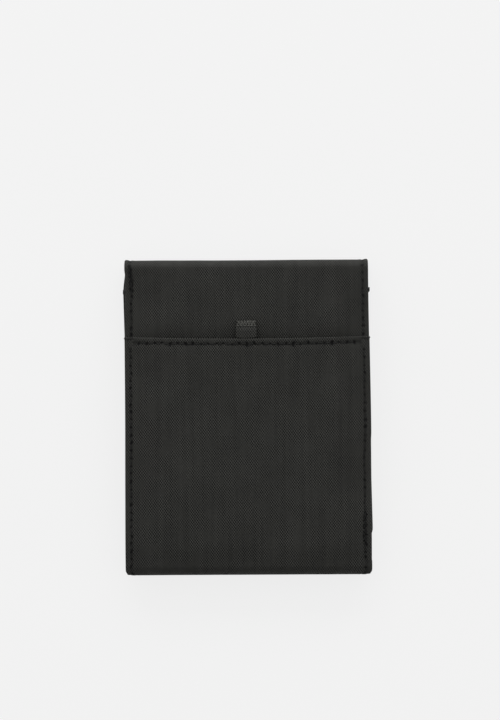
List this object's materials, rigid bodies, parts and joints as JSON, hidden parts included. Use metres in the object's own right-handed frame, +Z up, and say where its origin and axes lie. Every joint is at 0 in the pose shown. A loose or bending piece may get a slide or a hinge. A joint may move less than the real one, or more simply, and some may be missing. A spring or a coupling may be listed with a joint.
{
  "type": "passport holder wallet",
  "caption": "Black twill passport wallet: a full-length flap folds over a spine onto a pouch with a passport compartment, zipped coin pocket, card slots and a back slip pocket with a tab.",
  "frame": {"origin": "under the middle of the closed wallet, on the surface it lies on, flap down", "axes": "+X across the wallet, +Y towards the spine, +Z up, out of the back slip pocket"},
  "size_m": [0.106, 0.135, 0.015],
  "materials": {
    "twill": "black nylon twill, soft sheen",
    "lining": "plain woven polyester lining, slight sheen",
    "board": "stiffening board, sealed inside",
    "thread": "black polyester thread",
    "ribbon": "ribbed black ribbon and bound seams",
    "hook": "moulded nylon hooks",
    "loop_pile": "brushed nylon loops",
    "foil_cloth": "lining cloth with a shielding foil",
    "zip_coil": "nylon coil",
    "black_metal": "black lacquered zinc"
  },
  "bodies": {
    "flap": {"flap_outer": "twill", "flap_board": "board", "flap_lining": "lining", "flap_pocket": "lining", "flap_hook_patch": "hook", "flap_topstitch": "thread", "flap_crease": "twill"},
    "spine": {"spine_outer": "twill", "spine_lining": "lining", "back_crease": "twill"},
    "pouch": {"back_panel": "twill", "back_board": "board", "back_lining": "lining", "back_slip_pocket": "twill", "pocket_topstitch": "thread", "side_seam_left": "ribbon", "side_seam_right": "ribbon", "side_topstitch_left": "thread", "side_topstitch_right": "thread", "bottom_gusset": "twill", "divider": "foil_cloth", "front_yoke": "twill", "front_panel": "twill", "mouth_binding": "ribbon", "zip_tape_upper": "ribbon", "zip_tape_lower": "ribbon", "zip_coil_upper": "zip_coil", "zip_coil_lower": "zip_coil", "zip_stop_closed": "black_metal", "zip_stop_open": "black_metal", "card_slot_upper": "lining", "card_slot_lower": "lining", "card_slot_topstitch": "thread", "front_loop_patch": "loop_pile", "tab_anchor": "twill", "tab_bartack": "thread"},
    "slider": {"zip_slider": "black_metal", "zip_pull_ribbon": "ribbon"},
    "tab": {"tab_loop": "twill"}
  },
  "joints": [
    {"name": "flap_fold", "type": "hinge", "parent": "flap", "child": "spine", "pos_m": [0, 0.06645, 0.00172], "axis": [-1, 0, 0], "range_deg": [0, 90], "deforming": ["flap_crease"]},
    {"name": "back_fold", "type": "hinge", "parent": "spine", "child": "pouch", "pos_m": [0, 0.06645, 0.01333], "axis": [-1, 0, 0], "range_deg": [0, 90], "deforming": ["back_crease"]},
    {"name": "zip_slide", "type": "slide", "parent": "pouch", "child": "slider", "axis": [-1, 0, 0], "range_m": [0, 0.078]},
    {"name": "tab_swing", "type": "hinge", "parent": "pouch", "child": "tab", "pos_m": [0, 0.0384, 0.01505], "axis": [-1, 0, 0], "range_deg": [0, 150]}
  ]
}
